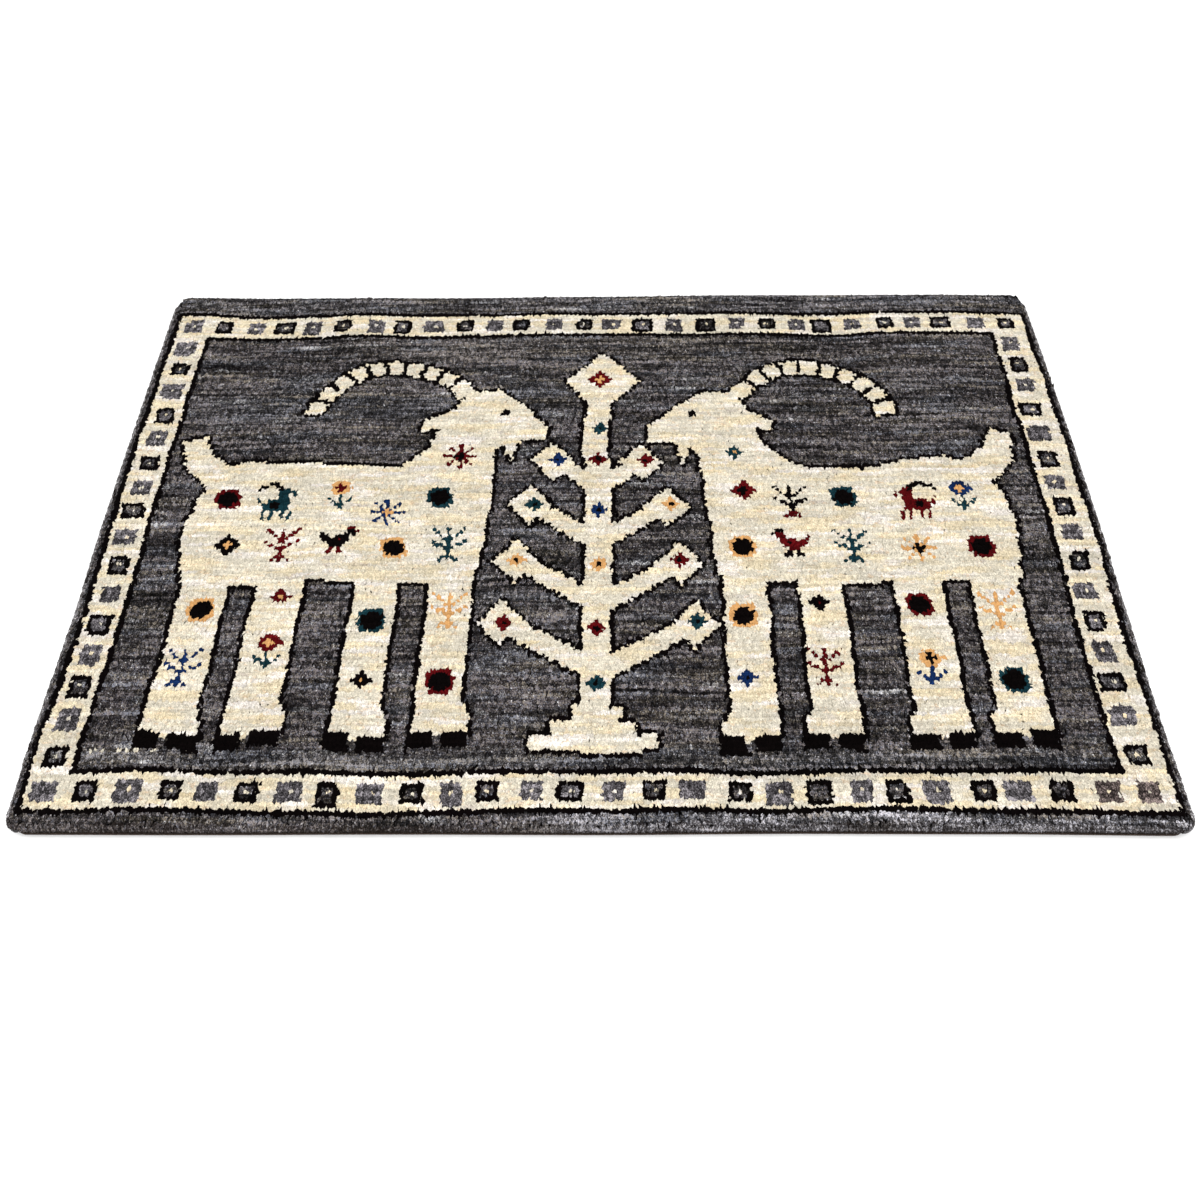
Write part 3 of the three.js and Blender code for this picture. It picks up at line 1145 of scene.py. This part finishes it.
def yarn_rings(side):
    """Rings of points along the yarn, one for each step."""
    wobble = np.repeat(selvedge_chance.normal(0, 1, turns + 1), steps_a_turn)[:steps + 1]
    wobble = np.convolve(wobble, np.ones(wobble_reach) / wobble_reach, mode="same")
    angle = 2 * math.pi * wound
    along = (2 * wound / turns - 1) * half_run + yarn_slant * np.sin(angle)
    centre, outward, radius = selvedge_centre(side, np.clip(along, -half_run, half_run))
    lump_place = along + lump_wander * np.sin(along / lump_wander_run)
    lumps = lump_depth * np.sin(math.pi * lump_place / lump_pitch) ** 2
    thin = np.clip(radius / selvedge_radius, thinnest_share, 1)
    spiral_radius = radius + (yarn_bulk - yarn_radius) * thin - lumps + wobble_depth * wobble
    spiral_radius = np.maximum(spiral_radius, least_spiral_radius)
    upwards = np.array([0, 0, 1.0])
    spiral = centre + spiral_radius[:, None] * (
        np.cos(angle)[:, None] * outward + np.sin(angle)[:, None] * upwards
    )
    spiral[:, 2] = np.maximum(spiral[:, 2], lowest_yarn * yarn_radius * thin)
    heading = unit(np.gradient(spiral, axis=0))
    away = spiral - centre
    away = unit(away - (away * heading).sum(1, keepdims=True) * heading)
    beside = np.cross(heading, away)
    around = np.arange(yarn_sides) * 2 * math.pi / yarn_sides
    thickness = yarn_radius * thin * (1 + wobble_thickness * wobble)
    ring = np.cos(around)[:, None] * away[:, None] + np.sin(around)[:, None] * beside[:, None]
    points = spiral[:, None] + thickness[:, None, None] * ring
    points[..., 2] = np.maximum(points[..., 2], 0)
    return points


print("turns of yarn on each side:", turns)

# %% [markdown]
# Each turn of yarn has its own square of the texture map. Its lots are how many turns were wound
# before it and which side of the tube a point is on, so that the finish can follow the yarn.

# %% The selvedges
def yarn_map():
    """Where each corner of the yarn's faces is on the texture map."""
    cells = math.ceil(math.sqrt(turns))
    step, yarn_side = np.divmod(np.arange(steps * yarn_sides), yarn_sides)
    cell_x, cell_y = (step // steps_a_turn) % cells, (step // steps_a_turn) // cells
    low_u = (step % steps_a_turn) / steps_a_turn
    low_v = yarn_side / yarn_sides
    cell_share = 1 - 2 * yarn_map_margin
    on_map = np.stack([
        np.stack([
            (cell_x + yarn_map_margin + cell_share * (low_u + u / steps_a_turn)) / cells,
            (cell_y + yarn_map_margin + cell_share * (low_v + v / yarn_sides)) / cells,
        ], axis=1)
        for u, v in ((0, 0), (0, 1), (1, 1), (1, 0))
    ], axis=1)
    return on_map.reshape(-1, 2)


def wrapped_selvedge(name, side):
    index = np.arange((steps + 1) * yarn_sides).reshape(steps + 1, yarn_sides)
    following = np.roll(index, -1, axis=1)
    faces = np.stack([index[:-1], following[:-1], following[1:], index[1:]], axis=-1).reshape(-1, 4)
    lots = {
        "turn": np.repeat(wound, yarn_sides),
        "yarn_side": np.tile(np.arange(yarn_sides) / yarn_sides, steps + 1),
    }
    points = as_lying(yarn_rings(side)).reshape(-1, 3)
    return new_mesh(name, points, [faces], yarn_map(), lots)


selvedges = {
    "selvedge_left": wrapped_selvedge("left_selvedge_yarn", -1),
    "selvedge_right": wrapped_selvedge("right_selvedge_yarn", 1),
}
print("faces:", {piece.name: len(piece.data.polygons) for piece in selvedges.values()})

# %% [markdown]
# The finishes are made of shader nodes. To keep the sums readable, a small class holds one socket
# and lets Python's own signs add the maths nodes: one minus a mask is written just so.

# %% Shader sums in plain Python
class Wire:
    """One value in a finish, which can be added, multiplied and so on like a number."""

    def __init__(self, finish, socket):
        self.finish = finish
        self.socket = socket

    def worked(self, operation, first, second):
        return self.finish.node("ShaderNodeMath", {"operation": operation}, {0: first, 1: second})

    def __add__(self, other):
        return self.worked("ADD", self, other)

    def __sub__(self, other):
        return self.worked("SUBTRACT", self, other)

    def __rsub__(self, other):
        return self.worked("SUBTRACT", other, self)

    def __mul__(self, other):
        return self.worked("MULTIPLY", self, other)

    def __rpow__(self, other):
        return self.worked("POWER", other, self)

    __radd__ = __add__
    __rmul__ = __mul__

    def at_most(self, limit):
        return self.worked("MINIMUM", self, limit)

    def sine(self):
        return self.finish.node("ShaderNodeMath", {"operation": "SINE"}, {0: self})


print("signs that add a node: +, -, * and **")

# %% [markdown]
# A finish holds one material. Every kind of node comes from its one method, node, and the short
# methods below are built on it. Colours are mixed and tinted by nodes of their own, because a maths
# node would turn them grey.

# %% A finish and its nodes
def with_alpha(colour):
    return colour if isinstance(colour, Wire) else (*colour, 1.0)


class Finish:
    """A material for one finish, and the nodes in it."""

    def __init__(self, name):
        self.material = bpy.data.materials.new(name)
        self.material.use_nodes = True
        self.tree = self.material.node_tree
        self.shader = self.tree.nodes["Principled BSDF"]

    def node(self, kind, settings=None, values=None, output=0):
        """Adds a node, with its settings first and then its sockets' values or wires."""
        node = self.tree.nodes.new(kind)
        for setting, value in (settings or {}).items():
            setattr(node, setting, value)
        for socket, value in (values or {}).items():
            self.feed(node.inputs[socket], value)
        return Wire(self, node.outputs[output])

    def feed(self, socket, value):
        if isinstance(value, Wire):
            self.tree.links.new(value.socket, socket)
        else:
            socket.default_value = value

    def coated(self, colour, roughness, shine, height=None, relief=None):
        """Gives the shader its colour, its two constants and, where there is a height, its bump."""
        self.feed(self.shader.inputs["Base Color"], colour)
        self.shader.inputs["Roughness"].default_value = roughness
        self.shader.inputs["Specular IOR Level"].default_value = shine
        if height:
            bump = self.node("ShaderNodeBump", values={**relief, "Height": height})
            self.feed(self.shader.inputs["Normal"], bump)

    def lot(self, name):
        """A value that the mesh carries for each of its points."""
        return self.node("ShaderNodeAttribute", {"attribute_name": name}, output=2)

    def vector(self, x, y, z=0.0):
        return self.node("ShaderNodeCombineXYZ", values={0: x, 1: y, 2: z})

    def noise(self, place, scale=1.0, detail=2.0, roughness=0.5):
        values = {"Vector": place, "Scale": scale, "Detail": detail, "Roughness": roughness}
        return self.node("ShaderNodeTexNoise", values=values)

    def place(self):
        return self.node("ShaderNodeTexCoord", output=3)

    def between(self, value, low, high, start=0.0, end=1.0):
        """From start, where the value is low, to end, where it is high, with a soft change."""
        settings = {"interpolation_type": "SMOOTHSTEP", "clamp": True}
        values = {0: value, 1: low, 2: high, 3: start, 4: end}
        return self.node("ShaderNodeMapRange", settings, values)

    def mixed(self, first, second, share):
        """One colour turning into another as the share goes from 0 to 1."""
        colours = {6: with_alpha(first), 7: with_alpha(second)}
        return self.node("ShaderNodeMix", {"data_type": "RGBA"}, {0: share, **colours}, output=2)

    def tinted(self, colour, brightness):
        """A colour times a brightness."""
        even = self.vector(brightness, brightness, brightness)
        return self.node("ShaderNodeVectorMath", {"operation": "MULTIPLY"}, {0: colour, 1: even})


print("finish helpers ready")

# %% [markdown]
# Hand-spun wool never takes the dye evenly. The streaks that run along the rows are called
# abrash: the weaver takes up the next hank, and its shade is a little off. Flecks of other wool are
# spun into the yarn. So each wool has its dye, and the two wools that cover most of the rug also
# have streaks and flecks of other shades. A hank is a stretch of rows and columns that one batch
# of yarn was used for.

# %% The looks of the wools
def spreads(by_area, by_row, by_tuft, by_fibre, by_dash):
    """How many times brighter the lightest places are than the darkest, for each cause."""
    return {
        "area_spread": by_area,
        "row_spread": by_row,
        "tuft_spread": by_tuft,
        "fibre_spread": by_fibre,
        "dash_spread": by_dash,
    }


wool_looks = {
    "charcoal": {
        "dye": (0.0294, 0.0257, 0.0266),
        **spreads(8.0, 190.0, 8.0, 5000.0, 150.0),
        "streaks": [
            dict(colour=(0.041, 0.035, 0.028), reach=34, start=0.52, seed=11, jump=0.6, share=0.8),
            dict(colour=(0.032, 0.033, 0.0385), reach=30, start=0.54, seed=23, jump=0.3, share=0.8),
            dict(colour=(0.105, 0.104, 0.106), reach=16, start=0.63, seed=37, jump=1.7, share=0.8),
        ],
        "flecks": [
            dict(colour=(0.047, 0.04, 0.03), grain=(2.2 * mm, 1.4 * mm), start=0.52, seed=5, share=0.6),
            dict(colour=(0.031, 0.0335, 0.043), grain=(2.6 * mm, 1.4 * mm), start=0.54, seed=9, share=0.7),
            dict(colour=(0.2, 0.2, 0.205), grain=(1.2 * mm, 2.4 * mm), start=0.62, seed=14, share=0.7),
        ],
        "hanks": [
            dict(colour=(0.05, 0.044, 0.0435), rows=(-5, 3), columns=(-30, 100), share=0.8),
            dict(colour=(0.12, 0.116, 0.125), rows=(-5, 3), columns=(120, 300), share=0.9),
            dict(colour=(0.041, 0.038, 0.04), rows=(170, 190), columns=(-30, 300), share=0.9),
            dict(colour=(0.05, 0.0475, 0.049), rows=(14, 18), columns=(-30, 300), share=0.8),
            dict(colour=(0.041, 0.036, 0.034), rows=(148, 158), columns=(60, 190), share=0.7),
            dict(colour=(0.037, 0.038, 0.044), rows=(124, 134), columns=(20, 120), share=0.6),
            dict(colour=(0.022, 0.0205, 0.0225), rows=(134, 140), columns=(100, 300), share=0.6),
        ],
    },
    "cream": {
        "dye": (0.495, 0.455, 0.37),
        **spreads(1.3, 1.6, 1.35, 7.0, 2.2),
        "streaks": [
            dict(colour=(0.55, 0.465, 0.31), reach=16, start=0.48, seed=51, jump=0.35, share=0.75),
            dict(colour=(0.52, 0.425, 0.265), reach=11, start=0.58, seed=83, jump=0.9, share=0.6),
            dict(colour=(0.4, 0.345, 0.31), reach=7, start=0.62, seed=63, jump=1.2, share=0.55),
            dict(colour=(0.6, 0.56, 0.52), reach=14, start=0.54, seed=77, jump=0.4, share=0.8),
        ],
        "flecks": [
            dict(colour=(0.28, 0.225, 0.18), grain=(2.6 * mm, 1.6 * mm), start=0.66, seed=3, share=0.6),
            dict(colour=(0.52, 0.37, 0.24), grain=(6 * mm, 3 * mm), start=0.58, seed=8, share=0.55),
        ],
    },
    "black": {"dye": (0.0016, 0.001, 0.001), **spreads(2.0, 3.0, 1.5, 12.0, 3.0)},
    "grey": {"dye": (0.058, 0.0535, 0.057), **spreads(4.0, 16.0, 6.0, 2000.0, 10.0)},
    "brown": {"dye": (0.055, 0.043, 0.04), **spreads(3.0, 12.0, 5.0, 2000.0, 8.0)},
    "red": {"dye": (0.056, 0.0022, 0.003), **spreads(2.0, 3.0, 1.6, 20.0, 2.0)},
    "teal": {"dye": (0.0045, 0.02, 0.026), **spreads(2.0, 3.0, 1.6, 20.0, 2.0)},
    "blue": {"dye": (0.004, 0.014, 0.055), **spreads(2.0, 3.0, 1.6, 20.0, 2.0)},
    "peach": {"dye": (0.47, 0.25, 0.095), **spreads(1.2, 1.8, 1.2, 4.0, 1.3)},
}
print("wools with streaks:", [name for name, look in wool_looks.items() if "streaks" in look])

# %% [markdown]
# Two kinds of noise carry those shades. One is looked up by row and column, so that it changes
# slowly along a row and jumps from one row to the next. The other is a grain in the rug's own
# space, with one size along the rows and another across them. It gives the salt and pepper of
# single fibres. A picture of wool could be laid over the pile instead, but it would repeat and blur.

# %% Noises that follow the rows
grain_turn = (0.6, 0.5, 0.7)
fibre_roughness = 0.6


def row_noise(finish, reach, seed, jump):
    """A noise that runs along the rows for about reach knots. A jump of one or more makes it start
    anew in each row, and a smaller one keeps it alike over a few rows."""
    along = finish.lot("column") * (1 / reach)
    across = finish.lot("row") * jump + seed
    return finish.noise(finish.vector(along, across), detail=1.0)


def grain_noise(finish, grain, seed=0.0):
    """A grain of fibres, with a given size along the rows and another across them."""
    along, across = grain
    settings = {"operation": "MULTIPLY_ADD"}
    values = {0: finish.place(), 1: (1 / along, 1 / across, 1 / across), 2: (seed, seed, seed)}
    place = finish.node("ShaderNodeVectorMath", settings, values)
    by_angles = {"rotation_type": "EULER_XYZ"}
    turned = finish.node("ShaderNodeVectorRotate", by_angles, {0: place, 4: grain_turn})
    return finish.noise(turned, roughness=fibre_roughness)


def within(finish, value, span, edge):
    """1 where the value is inside a span, and 0 outside, with a soft edge."""
    low, high = span
    above = finish.between(value, low - edge, low + edge)
    below = finish.between(value, high + edge, high - edge)
    return above * below


print("noise helpers ready")

# %% [markdown]
# A wool's colour is its dye, with the hanks, streaks and flecks mixed in. It is then made lighter and
# darker by area, row, tuft, fibre and dash. Each cause is a number, which says how many times
# brighter its lightest places are than its darkest, raised to a noise. Such powers multiply as
# shades of real dye do, and keep dark wool rich. Only the very lightest places are held back.
#
# Low on the rug's sides, and in its first row, the wool is painted dark and brown towards its foot.
# This is painted shade, for the little light that gets in between the tufts there.

# %% The wool finishes
streak_edge = 0.12
fleck_edge = 0.1
hank_edge_rows = 1.5
hank_edge_columns = 18
area_shade = {"reach": 70, "seed": 91, "jump": 0.12}
row_shade = {"reach": 34, "seed": 3, "jump": 1.1}
fibre_grain = (0.9 * mm, 1.3 * mm)
dash_grain = (34 * mm, 2.7 * mm)
brightest = 5.5
# Painted shade: the dark brown that the wool turns towards its foot, low on the sides and in the near row
foot_shade_colour = (0.022, 0.0145, 0.011)
foot_shade_height = (6.0 * mm, 11.0 * mm)
foot_shade_share = 0.9
foot_shade_rows = (-0.8, 0.9)
near_foot_shade_share = 0.5
fine_fibre_scale = 1 / (0.7 * mm)
wool_relief = {"Strength": 0.5, "Distance": 0.4 * mm}
wool_roughness = 0.95
wool_shine = 0.02


def wool_finish(name, look):
    finish = Finish(f"{name} wool")
    colour = look["dye"]
    for hank in look.get("hanks", []):
        share = within(finish, finish.lot("row"), hank["rows"], hank_edge_rows)
        share = share * within(finish, finish.lot("column"), hank["columns"], hank_edge_columns)
        colour = finish.mixed(colour, hank["colour"], share * hank["share"])
    for streak in look.get("streaks", []):
        noise = row_noise(finish, streak["reach"], streak["seed"], streak["jump"])
        full = streak["start"] + streak_edge
        share = finish.between(noise, streak["start"], full, 0.0, streak["share"])
        colour = finish.mixed(colour, streak["colour"], share)
    for fleck in look.get("flecks", []):
        noise = grain_noise(finish, fleck["grain"], fleck["seed"])
        full = fleck["start"] + fleck_edge
        share = finish.between(noise, fleck["start"], full, 0.0, fleck["share"])
        colour = finish.mixed(colour, fleck["colour"], share)
    brightness = look["area_spread"] ** (row_noise(finish, **area_shade) - 0.5)
    brightness = brightness * look["row_spread"] ** (row_noise(finish, **row_shade) - 0.5)
    brightness = brightness * look["tuft_spread"] ** (finish.lot("tuft") - 0.5)
    brightness = brightness * look["fibre_spread"] ** (grain_noise(finish, fibre_grain) - 0.5)
    brightness = brightness * look["dash_spread"] ** (grain_noise(finish, dash_grain) - 0.5)
    shaded = finish.tinted(colour, brightness.at_most(brightest))
    height = finish.node("ShaderNodeSeparateXYZ", values={0: finish.place()}, output=2)
    # Painted shade, darker and browner low on the sides and in the first row
    low_shade = finish.between(height, *foot_shade_height, foot_shade_share, 0.0)
    near_row_shade = finish.between(finish.lot("row"), *foot_shade_rows, near_foot_shade_share, 0.0)
    painted_foot_shade = 1 - (1 - low_shade) * (1 - near_row_shade)
    foot_shaded = finish.mixed(shaded, foot_shade_colour, painted_foot_shade)
    fine = finish.noise(finish.place(), fine_fibre_scale, roughness=fibre_roughness)
    finish.coated(foot_shaded, wool_roughness, wool_shine, fine, wool_relief)
    return finish.material


for name, look in wool_looks.items():
    material = wool_finish(name, look)
    for piece, wool in pile_pieces.items():
        if wool == name:
            piece.data.materials.append(material)
print("wool finishes:", len(wool_looks))

# %% [markdown]
# The ground shows at the hem as a fine, close weave in dark brown wool. On the underside the same
# weave is hidden by the backs of the knots, each in its own wool, so the mesh carries a colour for
# each knot. The bump of both is a simple grid of rounded nubs that follows the rows and columns.

# %% The ground's finish
hem_colour = (0.04, 0.026, 0.019)
# Painted shade: the near-black colour of the crease under the pile
crease_shade_colour = (0.012, 0.009, 0.007)
hem_levels = 4
ground_spread = 20.0
nubs_a_knot = 2
nub_relief = {"Strength": 0.7, "Distance": 0.4 * mm}
ground_shine = 0.15
back_colours = np.array([
    (0.1, 0.095, 0.1), (0.7, 0.6, 0.42), (0.012, 0.01, 0.01), (0.15, 0.145, 0.15), (0.16, 0.12, 0.11),
    (0.2, 0.01, 0.016), (0.012, 0.09, 0.13), (0.016, 0.06, 0.26), (0.8, 0.36, 0.13),
])

face_colours = np.tile((*hem_colour, 1.0), (len(ground.data.polygons), 1))
in_hem = np.minimum(row, rows - 1 - row).ravel() < hem_rows
knots = rows * columns
knot_colours = np.column_stack([back_colours[chart.ravel()], np.ones(knots)])
face_colours[:knots] = np.where(in_hem[:, None], face_colours[:knots], knot_colours)
# The top course of the ground's wall and its top face, under the pile, are painted near black as painted
# shade
face_colours[knots + hem_levels * len(rim):, :3] = crease_shade_colour
face_sizes = np.concatenate([np.full(knots, 4), np.full(len(wall_faces), 4), [len(rim)]])
corner_colours = np.repeat(face_colours, face_sizes, axis=0).astype(np.float32)
wool_colour = ground.data.attributes.new("wool_colour", "FLOAT_COLOR", "CORNER")
wool_colour.data.foreach_set("color", corner_colours.ravel())

ground_finish = Finish("woven ground")
wool_wire = ground_finish.node("ShaderNodeAttribute", {"attribute_name": "wool_colour"})
ground_speckle = ground_spread ** (grain_noise(ground_finish, fibre_grain) - 0.5)
ground_colour = ground_finish.tinted(wool_wire, ground_speckle)
nub_x = (ground_finish.lot("column") * (math.pi * nubs_a_knot)).sine()
nub_y = (ground_finish.lot("row") * math.pi).sine()
nubs = nub_x * nub_x + nub_y * nub_y
ground_finish.coated(ground_colour, wool_roughness, ground_shine, nubs, nub_relief)
ground.data.materials.append(ground_finish.material)
print("hem rows on the underside:", hem_rows)

# %% [markdown]
# The selvedge yarn is spun from charcoal wool like the pile's, and twisted. The twist shows as fine
# slanting ridges in the bump. The shade drifts from turn to turn, between a dark and a light yarn.

# %% The selvedge's finish
dark_yarn = (0.052, 0.046, 0.045)
light_yarn = (0.175, 0.168, 0.172)
light_span = (0.38, 0.62)
drift_pace = 0.3
drift_seed = 5.0
twist_pace = 40.0
twist_height = 0.3
patch_grain = (4 * mm, 3 * mm)
yarn_fibre_spread = 700.0
yarn_patch_spread = 60.0
yarn_relief = {"Strength": 0.5, "Distance": 0.3 * mm}
yarn_roughness = 0.9
yarn_shine = 0.2

selvedge_finish = Finish("selvedge yarn")
turn_wire = selvedge_finish.lot("turn")
drift_place = selvedge_finish.vector(turn_wire * drift_pace, drift_seed)
drift = selvedge_finish.noise(drift_place)
yarn_colour = selvedge_finish.mixed(dark_yarn, light_yarn, selvedge_finish.between(drift, *light_span))
round_yarn = selvedge_finish.lot("yarn_side") * (2 * math.pi)
twist = (turn_wire * twist_pace + round_yarn).sine()
yarn_fibres = grain_noise(selvedge_finish, fibre_grain)
yarn_patches = grain_noise(selvedge_finish, patch_grain)
yarn_speckle = yarn_fibre_spread ** (yarn_fibres - 0.5) * yarn_patch_spread ** (yarn_patches - 0.5)
speckled_yarn = selvedge_finish.tinted(yarn_colour, yarn_speckle)
yarn_surface = twist * twist_height + yarn_fibres
selvedge_finish.coated(speckled_yarn, yarn_roughness, yarn_shine, yarn_surface, yarn_relief)
for piece in selvedges.values():
    piece.data.materials.append(selvedge_finish.material)
print("selvedge finish on", len(selvedges), "pieces")

# %% [markdown]
# The floor is plain and pale, with only a faint unevenness so that it reads as a real surface.

# %% The floor's finish
floor_shades = ((0.94, 0.94, 0.94), (0.96, 0.96, 0.96))
floor_noise_scale = 0.8
floor_roughness = 0.8
floor_shine = 0.5

floor_finish = Finish("pale floor")
floor_noise = floor_finish.noise(floor_finish.place(), floor_noise_scale)
floor_colour = floor_finish.mixed(*floor_shades, floor_noise)
floor_finish.coated(floor_colour, floor_roughness, floor_shine)
floor.data.materials.append(floor_finish.material)
print("floor finish ready")

# %% [markdown]
# At the end each piece is tied to the frame, to the body that it moves with, and the solid that it
# stands for is hidden.

# %% Tied to the frame
for piece, wool in pile_pieces.items():
    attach(piece, "root")
    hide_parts("woven_body")
    "grey_wool" if wool == "brown" else f"{wool}_wool"
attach(ground, "root")
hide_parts("woven_body")
for node, piece in selvedges.items():
    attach(piece, "root")
    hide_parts(node)

triangles = 0
for piece in (*pile_pieces, ground, *selvedges.values()):
    triangles += sum(len(face.vertices) - 2 for face in piece.data.polygons)
print("triangles in all:", triangles)
